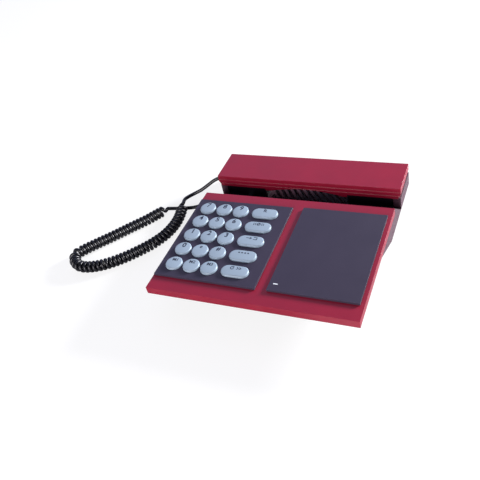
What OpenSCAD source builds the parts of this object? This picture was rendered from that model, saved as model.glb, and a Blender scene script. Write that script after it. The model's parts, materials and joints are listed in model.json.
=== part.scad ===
// Flat push-button desk telephone: a thin key deck on a wedge-shaped base, with the
// handset lying level behind it in a shallow cradle and a curly cord at its left side.
// X runs to the right, Y to the back and Z up, in millimetres. The origin is on the
// table, under the middle of the telephone.

/* [Overall] */
// Width of the key deck and of the handset
body_w = 210; // [209:0.5:212]
// Depth of the base
body_d = 230; // [230:1:233]
// Height of the key deck above the table
deck_h = 34; // [34:0.5:35]

/* [Key deck] */
// Depth of the key deck
deck_d = 150; // [149:0.5:151]
// Height of the deck's rim
rim_h = 8; // [8:0.25:8.5]
// Wall of the deck and of the base
wall = 2.2; // [2:0.1:2.4]
// Height of the two plates above the deck
plate_t = 2.4; // [2.2:0.1:2.8]

/* [Keys] */
// Radius of a round key
key_r = 8.6; // [8.2:0.1:8.7]
// Half width of a long key
pill_r = 7; // [6.5:0.1:7.4]
// Half of the straight part of a long key
pill_run = 7.15; // [6:0.05:7.5]
// Height of a key above its plate
key_rise = 2.4; // [2.2:0.1:2.8]
// Clearance round a key
key_gap = 0.35; // [0.3:0.05:0.4]
// Travel of a key
key_travel = 1.5; // [1:0.1:1.6]

/* [Handset] */
// Depth of the handset, front to back
hs_d = 45; // [44.5:0.5:45.5]
// Height of the red shell
hs_shell_h = 13.6; // [13.4:0.1:13.8]
// Wall of the handset's shells
hs_wall = 2.4; // [2.2:0.1:2.6]
// Height of the arch over the finger recess
arch_rise = 5.6; // [5:0.1:6]

/* [Cord] */
// Diameter of the cord's wire
wire_d = 4.2; // [4:0.1:4.3]
// Outer diameter of the curly cord
coil_d = 13.2; // [12.8:0.1:13.4]

/* [Hidden] */
$fn = 48;
eps = 0.01;

hw = body_w / 2;                    // half width of the deck
side_x = hw - 0.5;                  // outer face of the base's side walls
front_y = -body_d / 2;
back_y = body_d / 2;
deck_back = front_y + deck_d;
rim_z = deck_h - rim_h;             // lower edge of the deck's rim
deck_in = deck_h - 2;               // underside of the deck
tray_z = rim_z + 2;                 // top of the tray under the deck
plate_z = deck_h + plate_t;         // top of the two plates

// base
base_z = 4.6;                       // lower edge of the base's side walls
floor_z = 6;                        // cradle floor, which the handset rests on
cheek_z = 19.9;                     // top of the two cheeks
cheek_y = 68.7;                     // front face of the cheeks
cheek_in = 96.6;                    // inner face of the cheeks
groove_top = [deck_back + 0.3, deck_h - 0.5];
groove_foot = [67.6, floor_z];
chamfer_top = [-31, rim_z];
chamfer_foot = [18.4, base_z];
back_lip_z = 8.5;                   // low lip behind the handset
pan_t = 2.6;                        // steel bottom plate, which is also the ballast
pan_z = base_z - pan_t;

// plates: [left, right, front, back]
pad_box = [-103.9, 3.2, -97.9, 19.8];
blank_box = [14.7, 101.1, -97.1, 21.1];
opening = [-99.5, -4, -93, 16];     // opening in the deck under the keypad

// keys
col_x = [-88.7, -69.45, -50.2];
pill_x = -22.6;
row_y = [4.5, -17, -38.5, -60, -81.5];
key_top = plate_z + key_rise;
key_bevel = 0.8;
tab_z = deck_h - 1.6;               // underside of a key's retaining tabs
tab_t = 1.4;
stem_z = tab_z - 0.6;               // lower end of a key's stem, on its dome
stem_r = 2.4;
board_t = 1.4;
mat_z = tray_z + board_t;
mat_t = 0.6;

// indicator
lamp = [21, -88.75];

// handset
hs_front = 66.5;
hs_mid = hs_front + hs_d / 2;
hs_back = hs_front + hs_d;
shell_z = deck_h - hs_shell_h;      // lower edge of the red shell
tab_low = deck_h - 16.3;            // lower edge of the tabs beside the arch
arch_z = tab_low + arch_rise;       // crown of the arch
arch_x = 42;
arch_r = (arch_x * arch_x + arch_rise * arch_rise) / (2 * arch_rise);
cup_in = 47.5;                      // inner end of the ear and mouth blocks
cup_out = 96;                       // outer end
cup_cut = 4.6;                      // lead-in cut at the outer corners
cup_z = shell_z - 0.1;              // where a block meets the shell's inside
cup_hip = 18.3;                     // height at which the lead-in cuts end
cup_wall = 2;
hs_screw_x = 92.6;

// base internals
screw_r = 1.5;
lever_x = -70;
pin = [50, 9];
pin_r = 1.25;
pcb_z = 7.5;
speaker = [82, 42.5];
gland = [-100.5, 10];
inlet = [46, 9];                    // where the handset cord enters the base
cord_exit = [74, 24.4];             // where the cord leaves the handset

// Cord routes: the lead from the handset, the curly part and the lead to the base
handset_route = [[-107.6, 74, 24.4], [-110.5, 73.6, 24], [-116, 71.4, 21.6], [-122, 68, 18],
    [-130, 63.5, 13.4], [-137.5, 60, 10.4], [-143, 55, 9.4], [-145.5, 49, 10],
    [-145, 44, 11.2], [-143.2, 38.6, 12.2]];
coil_route = [[-143, 38, 12.4], [-140.5, 27, 10.2], [-139.5, 10, 7.4], [-142.5, -10, 6.8],
    [-150.5, -27.5, 6.8], [-162, -43, 6.8], [-175.5, -57.5, 6.8], [-191.5, -70, 6.8],
    [-207.5, -77, 6.8], [-221, -77.5, 6.8], [-232, -70.5, 6.8], [-235.5, -61, 6.8],
    [-230, -52, 6.8], [-219, -39, 6.8], [-206.5, -25, 6.8], [-193, -8.5, 6.8],
    [-179, 8, 6.8], [-169, 22.5, 6.8], [-162.5, 31.5, 6.8]];
base_route = [[-162.2, 32, 6.4], [-159, 35, 4.4], [-155, 37.5, 2.9], [-149, 39.5, 2.3],
    [-142, 40.8, 2.3], [-135, 42, 2.8], [-128, 43.4, 4.2], [-119, 45, 6.6],
    [-113, 45.9, 8.4], [-109, 46, 9]];

// Extrudes a [y, z] outline along X, between x0 and x1
module along_x(x0, x1) {
    translate([x0, 0, 0]) rotate([90, 0, 90]) linear_extrude(x1 - x0) children();
}

// Extrudes an [x, z] outline along Y, between y0 and y1
module along_y(y0, y1) {
    translate([0, y1, 0]) rotate([90, 0, 0]) linear_extrude(y1 - y0) children();
}

// A box from its lowest to its highest corner
module block(low, high) {
    translate(low) cube(high - low);
}

// A round bar along X
module bar_x(x0, x1, y, z, r) {
    translate([x0, y, z]) rotate([0, 90, 0]) cylinder(h = x1 - x0, r = r);
}

// A round bar along Y
module bar_y(y0, y1, x, z, r) {
    translate([x, y1, z]) rotate([90, 0, 0]) cylinder(h = y1 - y0, r = r);
}

// A round bar along Z
module post(x, y, z0, z1, r) {
    translate([x, y, z0]) cylinder(h = z1 - z0, r = r);
}

module both_sides() {
    children();
    mirror([1, 0, 0]) children();
}

// A tube swept along a route that never stands upright
function unit(v) = v / norm(v);
function heading(p, i) = unit(p[min(i + 1, len(p) - 1)] - p[max(i - 1, 0)]);
function ring(c, t, r, sides) = let (s = unit(cross(t, [0, 0, 1])), u = cross(s, t))
    [for (k = [0 : sides - 1]) c + r * (cos(360 * k / sides) * s + sin(360 * k / sides) * u)];
module tube(route, r, sides) {
    n = len(route);
    points = [for (i = [0 : n - 1]) each ring(route[i], heading(route, i), r, sides)];
    sheet = [for (i = [0 : n - 2], k = [0 : sides - 1])
        let (a = i * sides + k, b = i * sides + (k + 1) % sides) [a, b, b + sides, a + sides]];
    start = [for (k = [sides - 1 : -1 : 0]) k];
    end = [for (k = [0 : sides - 1]) (n - 1) * sides + k];
    polyhedron(points, concat(sheet, [start], [end]), convexity = 6);
}

// ---- base ----

deck_screws = [[-96, -104], [96, -104], [5, -42], [96, -42]];
pan_screws = [[-92, 22], [60, 22], [-30, 104], [30, 104]];
feet = [[-80, 26.4], [80, 26.4], [-85, 102], [85, 102]];

// The wedge's hollow: inside faces parallel to the chamfer and to the groove's front wall
module hollow_outline() {
    polygon([[24.2, base_z - 0.1], [65.9, base_z - 0.1], [43.1, rim_z - 2], [32, rim_z - 2],
        [32, tray_z + 0.1], [-19.9, tray_z + 0.1], [-19.9, rim_z - 2.5]]);
}

module cheek() {
    difference() {
        block([cheek_in, cheek_y, base_z], [side_x, back_y, cheek_z]);
        block([cheek_in + 1.8, cheek_y + 1.8, base_z - 1],
            [side_x - 1.8, back_y - 9, cheek_z - 1.8]);
    }
}

// Ribs on the cradle floor, which stand over the sound outlet
module floor_ribs() {
    intersection() {
        block([-40, cheek_y + 0.6, floor_z - 0.5], [42, 100, floor_z + 1.2]);
        for (k = [-9 : 8])
            translate([k * 7.9, 85, floor_z - 0.4]) rotate([0, 0, 37]) translate([-1.3, -30, 0])
                cube([2.6, 60, 1.5]);
    }
}

module lower_housing() {
    color([0.24, 0.17, 0.2])
    difference() {
        union() {
            along_x(-side_x, side_x) difference() {
                polygon([chamfer_top, chamfer_foot, [back_y, base_z], [back_y, back_lip_z],
                    [back_y - 2, back_lip_z], [back_y - 2, floor_z], groove_foot, groove_top,
                    [groove_top[0], rim_z]]);
                hollow_outline();
            }
            // end walls of the wedge
            for (x = [-side_x, side_x - wall])
                along_x(x, x + wall)
                    polygon([chamfer_top, chamfer_foot, [groove_foot[0], base_z], groove_foot,
                        groove_top, [groove_top[0], rim_z]]);
            both_sides() cheek();
            // tray under the deck, inside its rim, open in the middle over the hollow
            difference() {
                block([-hw + wall + 0.2, front_y + wall + 0.2, rim_z + 0.2],
                    [hw - wall - 0.2, deck_back - wall - 0.2, tray_z]);
                block([-60, -19.9, rim_z - 1], [60, deck_back, tray_z + 1]);
            }
            block([-side_x + wall, -28, rim_z - 1], [side_x - wall, -19.9, tray_z - 1]);
            // screw bosses in the wedge and under the handset's grip
            for (p = [pan_screws[0], pan_screws[1]]) post(p[0], p[1], base_z, 14, 3.2);
            for (p = [pan_screws[2], pan_screws[3]]) post(p[0], p[1], base_z, 10, 3.2);
            // brackets for the hook lever and its switch
            for (x = [lever_x - 7, lever_x + 4.2]) block([x, 14, 7], [x + 2.8, 53, 18]);
            floor_ribs();
        }
        // slot for the hook lever, through the groove's wall and into the cradle floor
        block([lever_x - 3.6, 58, base_z - 0.1], [lever_x + 3.6, 84, 13]);
        bar_x(lever_x - 8, lever_x + 8, pin[0], pin[1], pin_r + 0.02);
        for (p = deck_screws) post(p[0], p[1], rim_z, tray_z + 0.1, screw_r + 0.2);
        for (p = pan_screws) post(p[0], p[1], base_z - 0.1, 9, screw_r - 0.15);
        bar_x(-side_x - 0.1, -side_x + wall + 0.1, inlet[0], inlet[1], 3);
        bar_y(back_y - 10, back_y + 0.1, gland[0], gland[1], 3.05);
        // sound outlet in the cradle floor
        for (k = [-3 : 4]) translate([k * 7.9 - 3.95, 85, 0]) rotate([0, 0, 37])
            block([-0.8, -8, base_z - 0.1], [0.8, 8, floor_z + 0.01]);
    }
}

module base_plate() {
    color([0.2, 0.2, 0.22])
    difference() {
        union() {
            block([-101, chamfer_foot[0] + 0.2, pan_z], [101, back_y - 3, base_z]);
            // standoffs for the main board
            for (x = [-48, 52], y = [26, 54]) post(x, y, base_z - eps, pcb_z, 2.4);
        }
        for (p = pan_screws) post(p[0], p[1], pan_z - 0.1, base_z + 0.1, screw_r + 0.2);
        // sound slots under the ringer
        for (k = [-3 : 3])
            block([speaker[0] + 4 * k - 0.9, speaker[1] - 9, pan_z - 0.1],
                [speaker[0] + 4 * k + 0.9, speaker[1] + 9, base_z + 0.1]);
    }
}

module top_cover() {
    color([0.62, 0.13, 0.25])
    difference() {
        union() {
            difference() {
                block([-hw, front_y, rim_z], [hw, deck_back, deck_h]);
                block([-hw + wall, front_y + wall, rim_z - 1],
                    [hw - wall, deck_back - wall, deck_in]);
            }
            for (p = deck_screws) post(p[0], p[1], tray_z, deck_in + eps, 3);
        }
        block([opening[0], opening[2], deck_in - 1], [opening[1], opening[3], deck_h + 1]);
        post(lamp[0], lamp[1], deck_in - 1, deck_h + 1, 1.8);
        for (p = deck_screws) post(p[0], p[1], tray_z - 0.1, deck_in + 0.9, screw_r - 0.15);
        for (x = [24, 92], y = [-88, 12])
            if (x != 24 || y != -88) post(x, y, deck_in - 1, deck_h + 1, 1.6);
    }
}

// Hole or outline of a key, larger than the key all round by gap
module key_outline(x, y, run, r) {
    translate([x, y]) {
        for (s = [-run, run]) translate([s, 0]) circle(r = r);
        square([2 * run, 2 * r], center = true);
    }
}

module keypad_plate() {
    color([0.2, 0.2, 0.28])
    difference() {
        union() {
            block([pad_box[0], pad_box[2], deck_h], [pad_box[1], pad_box[3], plate_z]);
            // locating rib inside the deck's opening
            block([opening[0] + 0.2, opening[2] + 0.2, deck_h - 1],
                [opening[1] - 0.2, opening[3] - 0.2, deck_h + eps]);
        }
        block([opening[0] + 1.4, opening[2] + 1.4, deck_h - 2],
            [opening[1] - 1.4, opening[3] - 1.4, deck_h]);
        translate([0, 0, deck_h - 0.1]) linear_extrude(plate_t + 0.2) {
            for (x = col_x, y = row_y) translate([x, y]) circle(r = key_r + key_gap);
            for (y = row_y) key_outline(pill_x, y, pill_run, pill_r + key_gap);
        }
    }
}

module blank_plate() {
    color([0.21, 0.21, 0.29])
    difference() {
        union() {
            block([blank_box[0], blank_box[2], deck_h], [blank_box[1], blank_box[3], plate_z]);
            for (x = [24, 92], y = [-88, 12])
                if (x != 24 || y != -88) post(x, y, deck_in - 0.5, deck_h + eps, 1.5);
        }
        block([lamp[0] - 2.2, lamp[1] - 0.6, deck_h - 0.1], [lamp[0] + 2.2, lamp[1] + 0.6, plate_z + 1]);
    }
}

module indicator_lens() {
    color("white")
    block([lamp[0] - 2.15, lamp[1] - 0.55, deck_h], [lamp[0] + 2.15, lamp[1] + 0.55, plate_z + 0.1]);
}

module indicator_lamp() {
    color("red") {
        post(lamp[0], lamp[1], mat_z, mat_z + 2, 1.5);
        post(lamp[0], lamp[1], mat_z, mat_z + 0.6, 1.75);
    }
}

module keypad_board() {
    color("seagreen") {
        block([-98.5, -92, tray_z], [-5, 15, mat_z]);
        block([-5 - eps, -92, tray_z], [26, -84, mat_z]);
    }
}

module key_mat() {
    color([0.55, 0.55, 0.55])
    difference() {
        union() {
            block([-98, -91.5, mat_z], [-6, 14.5, mat_z + mat_t]);
            for (x = concat(col_x, [pill_x]), y = row_y)
                translate([x, y, mat_z + mat_t - eps]) cylinder(h = stem_z - mat_z - mat_t + eps, r1 = 4.6, r2 = 2.6);
        }
        for (x = concat(col_x, [pill_x]), y = row_y)
            translate([x, y, mat_z - eps]) cylinder(h = mat_t + 0.8, r1 = 3.6, r2 = 2.4);
    }
}

// A key: cap with bevelled rim, stem, and the two tabs that hold it under the plate
module key(col, row) {
    long = col == 3;
    x = long ? pill_x : col_x[col];
    y = row_y[row];
    r = long ? pill_r : key_r;
    run = long ? pill_run : 0;
    color([0.62, 0.68, 0.76])
    union() {
        if (long) {
            translate([0, 0, tab_z]) linear_extrude(key_top - key_bevel - tab_z)
                key_outline(x, y, run, r);
            translate([x, y, key_top - key_bevel]) {
                for (s = [-run, run]) translate([s, 0, 0])
                    cylinder(h = key_bevel, r1 = r, r2 = r - key_bevel);
                along_x(-run, run) polygon([[-r, 0], [r, 0], [r - key_bevel, key_bevel],
                    [key_bevel - r, key_bevel]]);
            }
        } else {
            post(x, y, tab_z, key_top - key_bevel, r);
            translate([x, y, key_top - key_bevel - eps])
                cylinder(h = key_bevel + eps, r1 = r, r2 = r - key_bevel);
        }
        block([x - 3, y - r - 1.3, tab_z], [x + 3, y + r + 1.3, tab_z + tab_t]);
        post(x, y, stem_z, tab_z + eps, stem_r);
    }
}

module main_board() {
    color("darkgreen") block([-52, 22.5, pcb_z], [56, 57.5, pcb_z + 1.6]);
}

module dialler_chip() {
    color([0.1, 0.1, 0.1]) block([-40, 30, pcb_z + 1.6], [-14, 42, pcb_z + 5.6]);
}

module line_transformer() {
    color("saddlebrown") {
        block([4, 27, pcb_z + 1.6], [22, 43, pcb_z + 11.6]);
        block([1, 30, pcb_z + 1.6], [25, 40, pcb_z + 8.6]);
    }
}

module capacitors() {
    color("midnightblue")
    for (p = [[32, 30], [32, 42], [43, 36]]) post(p[0], p[1], pcb_z + 1.6, pcb_z + 11.6, 4);
}

module ribbon_cable() {
    color("silver") along_x(-22, -4)
        polygon([[-3, tray_z], [-3, 22], [27, 15.5], [27, pcb_z + 1.6], [27.8, pcb_z + 1.6],
            [27.8, 16.2], [-2.2, 22.6], [-2.2, tray_z]]);
}

module ringer_speaker() {
    color([0.15, 0.15, 0.15]) {
        post(speaker[0], speaker[1], base_z, base_z + 3.6, 17);
        post(speaker[0], speaker[1], base_z + 3.6 - eps, base_z + 10, 10);
    }
}

// Microswitch above the lever's inner arm
module hook_switch() {
    color("dimgray") {
        block([lever_x - 3, 31, 11.2], [lever_x + 3, 43.8, 17.6]);
        block([lever_x - 1, 37, 10.6], [lever_x + 1, 39.5, 11.2 + eps]);
    }
}

// Two-armed lever: the outer arm lies under the handset, the inner arm works the switch
module hook_lever() {
    color("gainsboro")
    difference() {
        union() {
            bar_x(lever_x - 2.6, lever_x + 2.6, pin[0], pin[1], 3);
            along_x(lever_x - 2.6, lever_x + 2.6)
                polygon([[35, 8.4], [35, 10.1], [50, 11], [52, 10.6], [66, 6], [82, 6],
                    [82, 4.9], [64, 4.9], [50, 7]]);
        }
        bar_x(lever_x - 3, lever_x + 3, pin[0], pin[1], pin_r + 0.05);
    }
}

module hook_pin() {
    color("silver") bar_x(lever_x - 7, lever_x + 7, pin[0], pin[1], pin_r);
}

// Leaf spring that lifts the outer arm when the handset is taken off
module hook_spring() {
    color("lightgray") along_x(lever_x - 2, lever_x + 2)
        polygon([[40, base_z], [40, base_z + 0.3], [48, base_z + 0.3], [57, 5.4], [57.2, 5.1],
            [48.4, base_z]]);
}

module rubber_feet() {
    color([0.1, 0.1, 0.1]) for (p = feet) post(p[0], p[1], 0, pan_z, 7);
}

module case_screws() {
    color("silver") for (p = deck_screws) {
        post(p[0], p[1], rim_z - 1.4, rim_z + 0.2, 2.8);
        post(p[0], p[1], rim_z, deck_in + 0.4, screw_r);
    }
}

module plate_screws() {
    color("silver") for (p = pan_screws) {
        post(p[0], p[1], pan_z - 1.4, pan_z, 2.8);
        post(p[0], p[1], pan_z - eps, 8.4, screw_r);
    }
}

module cord_grommet() {
    color([0.08, 0.08, 0.12]) {
        bar_x(-side_x + wall, -side_x + wall + 1.5, inlet[0], inlet[1], 4.2);
        bar_x(-side_x - 0.5, -side_x + wall + eps, inlet[0], inlet[1], 2.95);
        translate([-side_x - 0.5 + eps, inlet[0], inlet[1]]) rotate([0, -90, 0])
            cylinder(h = 4 + eps, r1 = 3.6, r2 = 2.3);
    }
}

module line_gland() {
    color([0.08, 0.08, 0.12])
    difference() {
        bar_y(back_y - 9, back_y - 0.2, gland[0], gland[1], 3);
        bar_y(back_y - 10, back_y, gland[0], gland[1], 2.1);
    }
}

// ---- handset ----

// Front, top and back of the red shell, with the two fine grooves along each long side
module shell_outline() {
    g = 0.5;
    b1 = deck_h - 5;
    b2 = deck_h - 9.7;
    polygon([[hs_front, tab_low], [hs_front, b2 - g], [hs_front + g, b2], [hs_front, b2 + g],
        [hs_front, b1 - g], [hs_front + g, b1], [hs_front, b1 + g], [hs_front, deck_h],
        [hs_back, deck_h], [hs_back, b1 + g], [hs_back - g, b1], [hs_back, b1 - g],
        [hs_back, b2 + g], [hs_back - g, b2], [hs_back, b2 - g], [hs_back, tab_low]]);
}

// Ends, tabs and arch of the red shell, seen from the front
module shell_face() {
    difference() {
        polygon([[-hw, deck_h], [hw, deck_h], [hw, deck_h - 7.4], [hw - 3.1, shell_z],
            [arch_x + 6, shell_z], [arch_x + 5, tab_low], [-arch_x - 5, tab_low],
            [-arch_x - 6, shell_z], [-hw + 3.1, shell_z], [-hw, deck_h - 7.4]]);
        translate([0, arch_z - arch_r]) circle(r = arch_r, $fn = 180);
    }
}

module handset_top_shell() {
    color([0.62, 0.13, 0.25])
    difference() {
        union() {
            difference() {
                intersection() {
                    along_x(-hw, hw) shell_outline();
                    along_y(hs_front - 1, hs_back + 1) shell_face();
                }
                block([-hw + 6.4, hs_front + hs_wall, 0],
                    [hw - 6.4, hs_back - hs_wall, deck_h - hs_wall]);
            }
            for (s = [-1, 1]) post(s * hs_screw_x, hs_mid, 22.6, deck_h - hs_wall + eps, 3);
        }
        for (s = [-1, 1]) post(s * hs_screw_x, hs_mid, 22, 29, 1);
        bar_x(-hw - 1, -hw + 7, cord_exit[0], cord_exit[1], 3);
    }
}

// Ear or mouth block: it narrows downwards, with lead-in cuts at its outer corners
module cup() {
    f = hs_front + 1.2;
    b = hs_back - 1.2;
    in = 2.4;
    hull() {
        translate([0, 0, cup_hip]) linear_extrude(cup_z - cup_hip)
            polygon([[cup_in, f], [cup_out, f], [cup_out, b], [cup_in, b]]);
        translate([0, 0, floor_z]) linear_extrude(eps)
            polygon([[cup_in, f + in], [cup_out - cup_cut, f + in], [cup_out, f + in + cup_cut],
                [cup_out, b - in - cup_cut], [cup_out - cup_cut, b - in], [cup_in, b - in]]);
    }
}

module sound_holes(x, count, ring_r) {
    post(x, hs_mid, floor_z - 1, floor_z + 4, 1);
    for (k = [0 : count - 1])
        post(x + ring_r * cos(360 * k / count), hs_mid + ring_r * sin(360 * k / count),
            floor_z - 1, floor_z + 4, 1);
}

module handset_lower_shell() {
    in_y = hs_wall + 0.3;
    color([0.09, 0.08, 0.12])
    difference() {
        union() {
            both_sides() {
                cup();
                block([cup_in - 3, hs_front + in_y, cup_z - eps],
                    [hw - 6.7, hs_back - in_y, 22.4]);
                block([cup_in - 3, hs_front + in_y, 22.4 - eps], [cup_in - 1, hs_back - in_y, 25]);
            }
            // thin middle of the grip, above the finger recess
            block([-cup_in + 1, hs_front + in_y, 23.4], [cup_in - 1, hs_back - in_y, 25]);
            along_x(-cup_in + 3.5, cup_in - 3.5)
                polygon([[hs_front + 8, 23.5], [hs_front + 13, 19.6], [hs_back - 13, 19.6],
                    [hs_back - 8, 23.5]]);
        }
        both_sides() {
            block([cup_in + cup_wall, hs_front + 6, floor_z + cup_wall],
                [cup_out - 7.5, hs_back - 6, 23]);
            post(hs_screw_x, hs_mid, floor_z - 1, 10, 2.7);
            post(hs_screw_x, hs_mid, floor_z, 24, 1.4);
        }
        sound_holes(70, 8, 8);
        sound_holes(-70, 6, 5);
        // wire way between the two blocks, above the grip
        block([-cup_in, hs_mid - 3, 24], [cup_in, hs_mid + 3, 26]);
    }
}

module earpiece_capsule() {
    color("dimgray") {
        post(70, hs_mid, floor_z + cup_wall, floor_z + cup_wall + 6, 16);
        post(70, hs_mid, floor_z + cup_wall + 6 - eps, floor_z + cup_wall + 9, 9);
    }
}

module microphone_capsule() {
    color("dimgray") {
        post(-70, hs_mid, floor_z + cup_wall, floor_z + cup_wall + 8, 11);
        post(-70, hs_mid, floor_z + cup_wall, floor_z + cup_wall + 3, 13);
    }
}

module handset_weight() {
    color("gray") block([-36, hs_mid + 4, 25], [36, hs_mid + 18, 30.5]);
}

module handset_board() {
    color("darkgreen") block([-36, hs_mid - 18, 25], [30, hs_mid - 4, 26.6]);
}

module handset_screws() {
    color("silver") for (s = [-1, 1]) {
        post(s * hs_screw_x, hs_mid, 8.4, 10, 2.4);
        post(s * hs_screw_x, hs_mid, 10 - eps, 28, 1.15);
    }
}

// Rubber boot where the cord leaves the handset's end
module handset_boot() {
    color([0.08, 0.08, 0.12]) {
        bar_x(-hw + 1.4, -hw + 6.4, cord_exit[0], cord_exit[1], 2.95);
        translate([-hw + 1.4 + eps, cord_exit[0], cord_exit[1]]) rotate([0, -90, 0])
            cylinder(h = 3.5 + eps, r1 = 2.95, r2 = 2.2);
    }
}

// ---- cord ----

module handset_lead() {
    color([0.07, 0.08, 0.13]) tube(handset_route, wire_d / 2, 8);
}

module curly_cord() {
    color([0.07, 0.08, 0.13]) tube(coil_route, coil_d / 2, 12);
}

module base_lead() {
    color([0.07, 0.08, 0.13]) tube(base_route, wire_d / 2, 8);
}

lower_housing();
base_plate();
top_cover();
keypad_plate();
blank_plate();
indicator_lens();
indicator_lamp();
key_mat();
keypad_board();
main_board();
dialler_chip();
line_transformer();
capacitors();
ribbon_cable();
ringer_speaker();
hook_switch();
hook_lever();
hook_pin();
hook_spring();
rubber_feet();
case_screws();
plate_screws();
cord_grommet();
line_gland();
key(0, 0);  // key_7
key(1, 0);  // key_8
key(2, 0);  // key_9
key(3, 0);  // key_recall
key(0, 1);  // key_4
key(1, 1);  // key_5
key(2, 1);  // key_6
key(3, 1);  // key_mute
key(0, 2);  // key_1
key(1, 2);  // key_2
key(2, 2);  // key_3
key(3, 2);  // key_store
key(0, 3);  // key_0
key(1, 3);  // key_star
key(2, 3);  // key_hash
key(3, 3);  // key_code
key(0, 4);  // key_m1
key(1, 4);  // key_m2
key(2, 4);  // key_m3
key(3, 4);  // key_redial
handset_top_shell();
handset_lower_shell();
earpiece_capsule();
microphone_capsule();
handset_weight();
handset_board();
handset_screws();
handset_boot();
handset_lead();
curly_cord();
base_lead();
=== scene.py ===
"""Looks of the flat push-button desk telephone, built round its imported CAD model."""

import json
import math

import bmesh
import bpy
import numpy as np
from mathutils import Matrix, Vector


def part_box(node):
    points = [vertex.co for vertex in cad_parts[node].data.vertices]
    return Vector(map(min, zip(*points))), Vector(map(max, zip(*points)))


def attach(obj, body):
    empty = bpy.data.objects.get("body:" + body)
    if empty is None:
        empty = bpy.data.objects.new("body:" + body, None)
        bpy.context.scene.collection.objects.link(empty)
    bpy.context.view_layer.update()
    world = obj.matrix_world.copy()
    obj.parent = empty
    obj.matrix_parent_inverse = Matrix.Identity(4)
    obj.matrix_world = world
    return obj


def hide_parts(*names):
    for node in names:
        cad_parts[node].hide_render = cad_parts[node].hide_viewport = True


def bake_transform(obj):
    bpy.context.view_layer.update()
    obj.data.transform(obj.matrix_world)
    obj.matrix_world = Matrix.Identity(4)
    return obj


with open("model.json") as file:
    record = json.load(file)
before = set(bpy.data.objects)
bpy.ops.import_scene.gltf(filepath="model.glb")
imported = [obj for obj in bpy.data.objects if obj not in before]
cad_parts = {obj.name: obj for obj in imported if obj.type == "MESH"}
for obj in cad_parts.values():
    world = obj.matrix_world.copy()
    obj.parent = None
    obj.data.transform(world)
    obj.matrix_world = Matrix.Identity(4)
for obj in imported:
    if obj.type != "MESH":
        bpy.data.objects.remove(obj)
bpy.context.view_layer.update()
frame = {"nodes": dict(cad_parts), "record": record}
nodes = frame["nodes"]
node_body = {n: b for b, ns in frame["record"]["behaviour"]["bodies"].items() for n in ns}
node_slot = {s["node"]: s["material_slot"] for s in frame["record"]["subparts"]}
MM = 0.001


def link_object(name, data):
    obj = bpy.data.objects.new(name, data)
    bpy.context.scene.collection.objects.link(obj)
    return obj


# ---------------------------------------------------------------- camera

TARGET = Vector((-36.2, -34.9, 34.0)) * MM  # on the key deck, on the line of sight
AZIMUTH, ELEVATION, ROLL = math.radians(31.1), math.radians(40.24), math.radians(-14.6)
DISTANCE = 0.6129        # metres
LENS, SENSOR = 45.42, 36.0


def make_camera():
    forward = Vector((-math.sin(AZIMUTH) * math.cos(ELEVATION),
                      math.cos(AZIMUTH) * math.cos(ELEVATION), -math.sin(ELEVATION)))
    turn = forward.to_track_quat("-Z", "Y").to_matrix().to_4x4()
    data = bpy.data.cameras.new("view")
    data.lens, data.sensor_width = LENS, SENSOR
    data.clip_start = 0.01
    cam = link_object("view", data)
    cam.matrix_world = (Matrix.Translation(TARGET - forward * DISTANCE) @ turn
                        @ Matrix.Rotation(ROLL, 4, "Z"))
    bpy.context.scene.camera = cam


make_camera()

# ---------------------------------------------------------------- mesh helpers


def shade_smooth(mesh):
    mesh.polygons.foreach_set("use_smooth", [True] * len(mesh.polygons))


def new_object(name, verts, faces):
    mesh = bpy.data.meshes.new(name)
    mesh.from_pydata([tuple(v) for v in verts], [], faces)
    mesh.validate()
    shade_smooth(mesh)
    return link_object(name, mesh)


def adopt(obj, body, slot, *replaced):
    """obj rides on a body and stands for CAD nodes, which it hides; the slot is not used."""
    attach(obj, body)
    if replaced:
        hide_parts(*replaced)


def tube(name, path, radius, sides):
    """A closed round tube along a path, its rings turned as little as possible."""
    p = np.array(path, float)
    t = np.gradient(p, axis=0)
    t /= np.linalg.norm(t, axis=1)[:, None]
    side = np.cross(t[0], (0, 0, 1.0))
    side /= np.linalg.norm(side)
    verts = []
    for c, along in zip(p, t):
        side = side - along * (side @ along)
        side /= np.linalg.norm(side)
        up = np.cross(along, side)
        for k in range(sides):
            a = 2 * math.pi * k / sides
            verts.append(c + radius * (math.cos(a) * side + math.sin(a) * up))
    n = len(p)
    faces = [(i * sides + k, i * sides + (k + 1) % sides,
              (i + 1) * sides + (k + 1) % sides, (i + 1) * sides + k)
             for i in range(n - 1) for k in range(sides)]
    faces.append(tuple(reversed(range(sides))))
    faces.append(tuple((n - 1) * sides + k for k in range(sides)))
    return new_object(name, verts, faces)


def smooth_route(points, step):
    """A Catmull-Rom curve through given points, with points about step apart."""
    p = np.array(points, float)
    p = np.vstack([2 * p[0] - p[1], p, 2 * p[-1] - p[-2]])
    out = []
    for i in range(1, len(p) - 2):
        count = max(2, int(np.linalg.norm(p[i + 1] - p[i]) / step))
        for t in np.arange(count) / count:
            out.append(0.5 * (2 * p[i] + (p[i + 1] - p[i - 1]) * t
                              + (2 * p[i - 1] - 5 * p[i] + 4 * p[i + 1] - p[i + 2]) * t ** 2
                              + (3 * p[i] - p[i - 1] - 3 * p[i + 1] + p[i + 2]) * t ** 3))
    out.append(p[-2])
    return np.array(out)


# ---------------------------------------------------------------- cord

WIRE_D = 4.2 * MM
COIL_D = 13.2 * MM
COIL_R = (COIL_D - WIRE_D) / 2
CORD_SIDES = 12
TURN_STEPS = 18         # points on the wire in one turn
TURN_GAP = 4.4 * MM     # spacing of the turns, on the inside of a bend
LEAST_INSIDE = 0.55     # share of the spacing on the axis that is left inside a sharp bend
BEND_REACH = 4 * MM     # how far each way the axis's bend is measured
LEAD_IN = 9 * MM        # stretch over which the wire leaves or joins the coil
LEAD_PITCH = 26 * MM    # how fast it runs along the axis there
AXIS_STEP, WIRE_STEP = 0.4, 1.2

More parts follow.
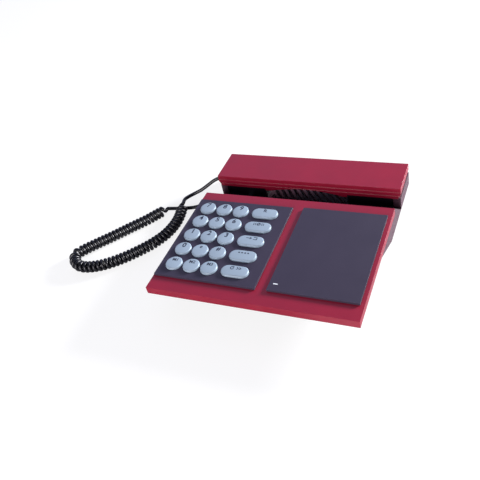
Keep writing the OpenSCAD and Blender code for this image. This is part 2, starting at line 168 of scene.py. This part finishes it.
# Routes in millimetres, from the handset's boot to the base's grommet
HANDSET_ROUTE = [(-107.6, 74, 24.4), (-110.5, 73.6, 24), (-116, 71.4, 21.6), (-122, 68, 18),
                 (-130, 63.5, 13.4), (-137.5, 60, 10.4), (-143, 55, 9.4), (-145.5, 49, 10),
                 (-145, 44, 11.2), (-143.2, 38.6, 12.2)]
COIL_ROUTE = [(-143, 38, 12.4), (-140.5, 27, 10.2), (-139.5, 10, 7.4), (-142.5, -10, 6.8),
              (-150.5, -27.5, 6.8), (-162, -43, 6.8), (-175.5, -57.5, 6.8), (-191.5, -70, 6.8),
              (-207.5, -77, 6.8), (-221, -77.5, 6.8), (-232, -70.5, 6.8), (-235.5, -61, 6.8),
              (-230, -52, 6.8), (-219, -39, 6.8), (-206.5, -25, 6.8), (-193, -8.5, 6.8),
              (-179, 8, 6.8), (-169, 22.5, 6.8), (-162.5, 31.5, 6.8)]
BASE_ROUTE = [(-162.2, 32, 6.4), (-159, 35, 4.4), (-155, 37.5, 2.9), (-149, 39.5, 2.3),
              (-142, 40.8, 2.3), (-135, 42, 2.8), (-128, 43.4, 4.2), (-119, 45, 6.6),
              (-113, 45.9, 8.4), (-109, 46, 9)]


def coil_pitch(bend, ease):
    """Distance between turns on the axis: wider round a bend, and much wider at the ends."""
    tight = TURN_GAP / max(LEAST_INSIDE, 1 - COIL_R * bend)
    return tight + (LEAD_PITCH - tight) * (1 - ease)


def helix(axis_points):
    """The wire's centreline round the coil's axis, a right-handed screw."""
    axis = smooth_route(axis_points, AXIS_STEP) * MM
    along = np.concatenate([[0], np.cumsum(np.linalg.norm(np.diff(axis, axis=0), axis=1))])

    def at(s):
        return np.array([np.interp(s, along, axis[:, k]) for k in range(3)])

    total, s, angle, out = along[-1], 0.0, math.pi / 2, []
    step = BEND_REACH
    while s < total:
        c, ahead, behind = at(s), at(min(s + step, total)), at(max(s - step, 0))
        t = (ahead - behind) / np.linalg.norm(ahead - behind)
        bend = np.linalg.norm(ahead - 2 * c + behind) / step ** 2 if step < s < total - step else 0
        side = np.cross(t, (0, 0, 1.0))
        side /= np.linalg.norm(side)
        up = np.cross(side, t)
        ease = min(1.0, s / LEAD_IN, (total - s) / LEAD_IN)
        ease = ease * ease * (3 - 2 * ease)
        out.append(c + COIL_R * ease * (math.cos(angle) * side + math.sin(angle) * up))
        angle -= 2 * math.pi / TURN_STEPS
        s += coil_pitch(bend, ease) / TURN_STEPS
    out.append(at(total))
    return np.array(out)


def make_cord():
    coil = helix(COIL_ROUTE)
    lead = smooth_route(HANDSET_ROUTE[:-1] + [tuple(coil[0] / MM)], WIRE_STEP) * MM
    tail = smooth_route([tuple(coil[-1] / MM)] + BASE_ROUTE[1:], WIRE_STEP) * MM
    path = np.vstack([lead[:-1], coil, tail[1:]])
    cord = tube("handset_cord", path, WIRE_D / 2, CORD_SIDES)
    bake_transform(cord)
    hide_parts("handset_lead", "curly_cord", "base_lead")
    return cord


cord = make_cord()

# ---------------------------------------------------------------- materials


def linear(rgb):
    """Linear colour from 0 to 255 display values."""
    return [((c / 255 + 0.055) / 1.055) ** 2.4 if c > 10 else c / 255 / 12.92 for c in rgb]


MOTTLE = 0.06           # how far the colour strays either way
GLOSS_DRIFT = 0.12      # how far the roughness strays either way
CLOUD_SCALE = 40


def plastic(name, rgb, rough, grain_mm, bump_mm, metallic=0.0):
    """Moulded or painted surface: fine grain, faint colour mottle and uneven gloss."""
    mat = bpy.data.materials.new(name)
    mat.use_nodes = True
    tree = mat.node_tree
    bsdf = tree.nodes["Principled BSDF"]
    coord = tree.nodes.new("ShaderNodeTexCoord")
    grain = tree.nodes.new("ShaderNodeTexNoise")
    grain.inputs["Scale"].default_value = 1 / (grain_mm * MM)
    grain.inputs["Detail"].default_value = 3
    cloud = tree.nodes.new("ShaderNodeTexNoise")
    cloud.inputs["Scale"].default_value = CLOUD_SCALE
    cloud.inputs["Detail"].default_value = 5
    ramp = tree.nodes.new("ShaderNodeValToRGB")
    base = linear(rgb)
    ramp.color_ramp.elements[0].position = 0.3
    ramp.color_ramp.elements[1].position = 0.7
    ramp.color_ramp.elements[0].color = [c * (1 - MOTTLE) for c in base] + [1]
    ramp.color_ramp.elements[1].color = [min(1, c * (1 + MOTTLE)) for c in base] + [1]
    gloss = tree.nodes.new("ShaderNodeMapRange")
    gloss.inputs["To Min"].default_value = rough * (1 - GLOSS_DRIFT)
    gloss.inputs["To Max"].default_value = min(1, rough * (1 + GLOSS_DRIFT))
    dents = tree.nodes.new("ShaderNodeBump")
    dents.inputs["Strength"].default_value = 1.0
    dents.inputs["Distance"].default_value = bump_mm * MM
    link = tree.links.new
    link(coord.outputs["Object"], grain.inputs["Vector"])
    link(coord.outputs["Object"], cloud.inputs["Vector"])
    link(cloud.outputs["Fac"], ramp.inputs["Fac"])
    link(ramp.outputs["Color"], bsdf.inputs["Base Color"])
    link(cloud.outputs["Fac"], gloss.inputs["Value"])
    link(gloss.outputs["Result"], bsdf.inputs["Roughness"])
    link(grain.outputs["Fac"], dents.inputs["Height"])
    link(dents.outputs["Normal"], bsdf.inputs["Normal"])
    bsdf.inputs["Metallic"].default_value = metallic
    return mat


# Colour from 0 to 255, roughness, grain and its depth in millimetres, and metal
FINISHES = {
    "red_plastic": ((137, 6, 40), 0.42, 0.5, 0.012),
    "dark_housing": ((74, 45, 58), 0.5, 0.5, 0.03),
    "black_plastic": ((15, 10, 20), 0.42, 0.5, 0.02),
    "plate_paint": ((47, 40, 59), 0.55, 0.4, 0.03),
    "key_plastic": ((146, 163, 178), 0.4, 0.5, 0.01),
    "lens": ((235, 240, 245), 0.25, 0.5, 0.005),
    "lamp": ((190, 30, 30), 0.2, 0.5, 0.005),
    "silicone": ((140, 140, 142), 0.6, 0.5, 0.01),
    "circuit_board": ((30, 90, 50), 0.35, 0.6, 0.01),
    "black_steel": ((38, 38, 42), 0.45, 0.6, 0.03),
    "steel": ((190, 190, 195), 0.3, 0.5, 0.01, 1.0),
    "transformer": ((110, 90, 70), 0.5, 0.5, 0.02),
    "capacitor": ((20, 24, 70), 0.3, 0.5, 0.005),
    "ribbon": ((150, 150, 155), 0.5, 0.5, 0.01),
    "rubber": ((18, 18, 22), 0.65, 0.5, 0.03),
    "cord_plastic": ((5, 6, 14), 0.36, 0.6, 0.01),
    "ink": ((24, 28, 52), 0.5, 0.5, 0.0),
}
MATERIALS = {name: plastic(name, *finish) for name, finish in FINISHES.items()}


def paint(obj, name):
    obj.data.materials.clear()
    obj.data.materials.append(MATERIALS[name])


paint(cord, "cord_plastic")

# ---------------------------------------------------------------- CAD shells with real edges


WELD = 2e-6             # metres within which two points are one
FLAT = math.radians(0.6)
EDGE_SEGMENTS, EDGE_ANGLE = 3, math.radians(28)


def refined(node, width):
    """A clean copy of a CAD node with rounded edges, which stands for the node."""
    source = nodes[node].data
    bm = bmesh.new()
    verts = [bm.verts.new(v.co) for v in source.vertices]
    for poly in source.polygons:
        try:
            bm.faces.new([verts[i] for i in poly.vertices])
        except ValueError:  # that face is there already
            pass
    bmesh.ops.remove_doubles(bm, verts=bm.verts, dist=WELD)
    bmesh.ops.dissolve_degenerate(bm, dist=WELD, edges=bm.edges)
    bmesh.ops.dissolve_limit(bm, angle_limit=FLAT, verts=bm.verts, edges=bm.edges,
                             use_dissolve_boundaries=False)
    bmesh.ops.recalc_face_normals(bm, faces=bm.faces)
    mesh = bpy.data.meshes.new(node + "_finished")
    bm.to_mesh(mesh)
    bm.free()
    shade_smooth(mesh)
    obj = link_object(node + "_finished", mesh)
    bevel = obj.modifiers.new("edges", "BEVEL")
    bevel.width = width * MM
    bevel.segments = EDGE_SEGMENTS
    bevel.limit_method = "ANGLE"
    bevel.angle_limit = EDGE_ANGLE
    bevel.harden_normals = True
    bevel.use_clamp_overlap = True
    adopt(obj, node_body[node], node_slot[node], node)
    paint(obj, node_slot[node])


# Width of the rounded edges in millimetres
EDGES = {"top_cover": 0.8, "handset_top_shell": 0.45, "keypad_plate": 0.3, "blank_plate": 0.35,
         "lower_housing": 0.4, "handset_lower_shell": 0.6, "base_plate": 0.3}
for node, width in EDGES.items():
    refined(node, width)

# ---------------------------------------------------------------- keys

KEYS = [n for n in nodes if n.startswith("key_") and n != "key_mat"]
# Keys, in millimetres
KEY_DEPTH = 6.4         # from a key's top down to the underside of its tabs
TAB_IN, TAB_OUT, TAB_HALF, TAB_HIGH = 0.6, 1.3, 3.0, 1.4
STEM_R, STEM_SIDES, STEM_IN = 2.4, 24, 0.2
# A cap's profile: distance in from its side, and down from its top
RIM = [(0.0, KEY_DEPTH), (0.0, 1.15), (0.07, 0.8), (0.26, 0.48), (0.56, 0.22), (0.92, 0.06),
       (1.3, 0.0)]
SHARP_ANGLE = math.radians(35)

# Lettering, in millimetres
SIGN_BACK = 0.45        # how far back it stands, as a share of the cap's radius
INK_UP, INK_DOWN = 0.03, 0.05
STROKE = 0.75
LEAST_MITRE = 0.5
FONT_SIZE = 10
LETTER_WEIGHT = 0.22    # how much the outline is fattened at FONT_SIZE
HEIGHTS = {"*": 3.4, "#": 5.2, "R": 4.4, "M1": 3.8, "M2": 3.8, "M3": 3.8}
DIGIT_HEIGHT = 6.3
LETTERS = {"key_recall": "R", "key_star": "*", "key_hash": "#",
           "key_m1": "M1", "key_m2": "M2", "key_m3": "M3"}


def arc(x, y, r, a0, a1, steps=16):
    """Points round part of a circle, between two angles in degrees."""
    turns = [math.radians(a0 + (a1 - a0) * k / steps) for k in range(steps + 1)]
    return [(x + r * math.cos(t), y + r * math.sin(t)) for t in turns]


# Plain signs on the long keys, as strokes in millimetres about the sign's centre
SIGNS = {
    "key_mute": [arc(0, 0, 1.7, 0, 360, 28), [(-1.2, -1.2), (1.2, 1.2)],
                 arc(0, 0, 3.6, -28, 28), arc(0, 0, 3.6, 152, 208),
                 arc(0, 0, 5.4, -19, 19), arc(0, 0, 5.4, 161, 199)],
    "key_store": [[(-5.6, 0), (0.2, 0)], [(-1.5, 1.3), (0.2, 0), (-1.5, -1.3)],
                  [(2.2, 1.6), (5.8, 1.6), (5.8, -1.6), (2.2, -1.6)]],
    "key_code": [arc(x, 0, 0.55, 0, 360, 12) for x in (-4.8, -1.6, 1.6, 4.8)],
    "key_redial": [arc(-3.6, 0, 1.7, 50, 340, 24), [(-1.9, 1.9), (-2.4, 0.7), (-3.6, 1.1)],
                   [(1.0, 1.5), (2.8, 0), (1.0, -1.5)], [(3.6, 1.5), (5.4, 0), (3.6, -1.5)]],
}


def outline(run, r, segments=72):
    """Round a circle, or round a long key with its two round ends."""
    turns = [2 * math.pi * (k + 0.5) / segments for k in range(segments)]
    return [(math.copysign(run, math.cos(a)) + r * math.cos(a), r * math.sin(a)) for a in turns]


def add_loft(bm, rings):
    """Closes a stack of equal rings into one solid."""
    loops = [[bm.verts.new(p) for p in ring] for ring in rings]
    n = len(loops[0])
    for low, high in zip(loops, loops[1:]):
        for k in range(n):
            bm.faces.new((low[k], low[(k + 1) % n], high[(k + 1) % n], high[k]))
    bm.faces.new(list(reversed(loops[0])))
    bm.faces.new(loops[-1])


def flat_ring(points, z):
    return [(x * MM, y * MM, z * MM) for x, y in points]


def add_stroke(bm, points, z0, z1):
    """A pen stroke of even width with square ends, as a thin solid."""
    p = np.array(points, float)
    closed = np.allclose(p[0], p[-1])
    if closed:
        p = p[:-1]
    n = len(p)
    left, right = [], []
    for i in range(n):
        before = p[(i - 1) % n] if closed or i else 2 * p[0] - p[1]
        after = p[(i + 1) % n] if closed or i < n - 1 else 2 * p[-1] - p[-2]
        u, v = p[i] - before, after - p[i]
        u, v = u / np.linalg.norm(u), v / np.linalg.norm(v)
        normal = np.array((-u[1] - v[1], u[0] + v[0]))
        normal /= np.linalg.norm(normal)
        half = STROKE / 2 / max(LEAST_MITRE, float(normal @ np.array((-u[1], u[0]))))
        left.append(p[i] + normal * half)
        right.append(p[i] - normal * half)
    rows = [[bm.verts.new((x * MM, y * MM, z * MM)) for x, y in side]
            for side, z in ((left, z1), (right, z1), (right, z0), (left, z0))]
    for i in range(n if closed else n - 1):
        j = (i + 1) % n
        for a, b in ((0, 1), (1, 2), (2, 3), (3, 0)):
            bm.faces.new((rows[a][i], rows[b][i], rows[b][j], rows[a][j]))
    if not closed:
        bm.faces.new([row[0] for row in reversed(rows)])
        bm.faces.new([row[-1] for row in rows])


def mesh_object(name, bm):
    bmesh.ops.recalc_face_normals(bm, faces=bm.faces)
    mesh = bpy.data.meshes.new(name)
    bm.to_mesh(mesh)
    bm.free()
    shade_smooth(mesh)
    mesh.set_sharp_from_angle(angle=SHARP_ANGLE)
    return link_object(name, mesh)


def box_at(bm, low, high):
    """A box between two corners, in millimetres."""
    add_loft(bm, [flat_ring([(low[0], low[1]), (high[0], low[1]), (high[0], high[1]),
                             (low[0], high[1])], z) for z in (low[2], high[2])])


def letters(name, text, height, centre):
    """Lettering of a given height as a thin solid, its middle at centre."""
    curve = bpy.data.curves.new(name, "FONT")
    curve.body = text
    curve.size = FONT_SIZE * MM
    curve.offset = LETTER_WEIGHT * MM
    curve.extrude = (INK_UP + INK_DOWN) / 2 * MM
    maker = link_object(name + "_maker", curve)
    graph = bpy.context.evaluated_depsgraph_get()
    mesh = bpy.data.meshes.new_from_object(maker.evaluated_get(graph))
    bpy.data.objects.remove(maker)
    mesh.name = name
    points = np.array([v.co for v in mesh.vertices])
    low, high = points.min(0), points.max(0)
    size = height * MM / (high[1] - low[1])
    middle = Vector((low + high) / 2)
    mesh.transform(Matrix.Translation(centre) @ Matrix.Diagonal((size, size, 1, 1))
                   @ Matrix.Translation(-middle))
    return link_object(name, mesh)


def make_key(node):
    low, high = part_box(node)
    centre = (low + high) / 2
    r = (high.y - low.y) / 2 / MM - TAB_OUT
    run = max(0.0, (high.x - low.x) / 2 / MM - r)
    top = high.z / MM
    bm = bmesh.new()
    add_loft(bm, [flat_ring(outline(run, r - inset), top - drop) for inset, drop in RIM])
    foot = top - KEY_DEPTH
    for side in (-1, 1):
        near, far = sorted((side * (r - TAB_IN), side * (r + TAB_OUT)))
        box_at(bm, (-TAB_HALF, near, foot), (TAB_HALF, far, foot + TAB_HIGH))
    stem = outline(0, STEM_R, STEM_SIDES)
    add_loft(bm, [flat_ring(stem, z) for z in (low.z / MM, foot + STEM_IN)])
    bmesh.ops.translate(bm, vec=(centre.x, centre.y, 0), verts=bm.verts)
    cap = mesh_object(node + "_cap", bm)
    paint(cap, "key_plastic")
    adopt(cap, node, "key_plastic", node)
    place = Vector((centre.x, centre.y + SIGN_BACK * r * MM,
                    high.z + (INK_UP - INK_DOWN) / 2 * MM))
    if node in SIGNS:
        bm = bmesh.new()
        for points in SIGNS[node]:
            add_stroke(bm, points, -INK_DOWN, INK_UP)
        bmesh.ops.translate(bm, vec=(place.x, place.y, high.z), verts=bm.verts)
        sign = mesh_object(node + "_sign", bm)
    else:
        text = LETTERS.get(node, node[-1])
        sign = letters(node + "_sign", text, HEIGHTS.get(text, DIGIT_HEIGHT), place)
    paint(sign, "ink")
    adopt(sign, node, "black_plastic")


for node in KEYS:
    make_key(node)

# ---------------------------------------------------------------- pieces kept from the CAD

for node, obj in nodes.items():
    if not obj.hide_render:
        paint(obj, node_slot[node])

# ---------------------------------------------------------------- studio


LIT_POINT = (0, 0, 0.02)
FLOOR_HALF = 3


def area_light(name, location, size, power, color):
    data = bpy.data.lights.new(name, "AREA")
    data.size = size
    data.energy = power
    data.color = color
    lamp = link_object(name, data)
    lamp.location = location
    aim = Vector(LIT_POINT) - Vector(location)
    lamp.rotation_euler = aim.to_track_quat("-Z", "Y").to_euler()


def make_floor(name, height, glow, shade, seen):
    """A big floor, either the one the camera sees or the one that light and gloss meet."""
    corners = [(x * FLOOR_HALF, y * FLOOR_HALF, 0)
               for x, y in ((-1, -1), (1, -1), (1, 1), (-1, 1))]
    floor = new_object(name, corners, [(0, 1, 2, 3)])
    floor.location.z = height
    mat = bpy.data.materials.new(name)
    mat.use_nodes = True
    bsdf = mat.node_tree.nodes["Principled BSDF"]
    bsdf.inputs["Base Color"].default_value = (shade, shade, shade, 1)
    bsdf.inputs["Roughness"].default_value = 0.95
    bsdf.inputs["Specular IOR Level"].default_value = 0.0
    bsdf.inputs["Emission Color"].default_value = (1, 1, 1, 1)
    bsdf.inputs["Emission Strength"].default_value = glow
    floor.data.materials.append(mat)
    floor.visible_camera = seen
    floor.visible_diffuse = floor.visible_glossy = floor.visible_shadow = not seen


def make_studio():
    make_floor("floor_seen", -0.0002, 0.8, 0.25, True)
    make_floor("floor_light", -0.0006, 0.0, 0.75, False)
    world = bpy.data.worlds.new("studio")
    world.use_nodes = True
    sky = world.node_tree.nodes["Background"]
    sky.inputs["Color"].default_value = (0.75, 0.8, 1.0, 1)
    sky.inputs["Strength"].default_value = 0.18
    bpy.context.scene.world = world
    area_light("key", (1.34, 1.34, 0.62), 0.4, 105, (0.97, 0.97, 1.0))
    area_light("sky", (-0.8, 1.3, 1.3), 2.0, 9, (0.55, 0.6, 1.0))
    area_light("front", (-0.2, -1.5, 0.5), 1.0, 27, (1.0, 0.95, 0.97))
    bpy.context.scene.view_settings.view_transform = "Standard"


make_studio()
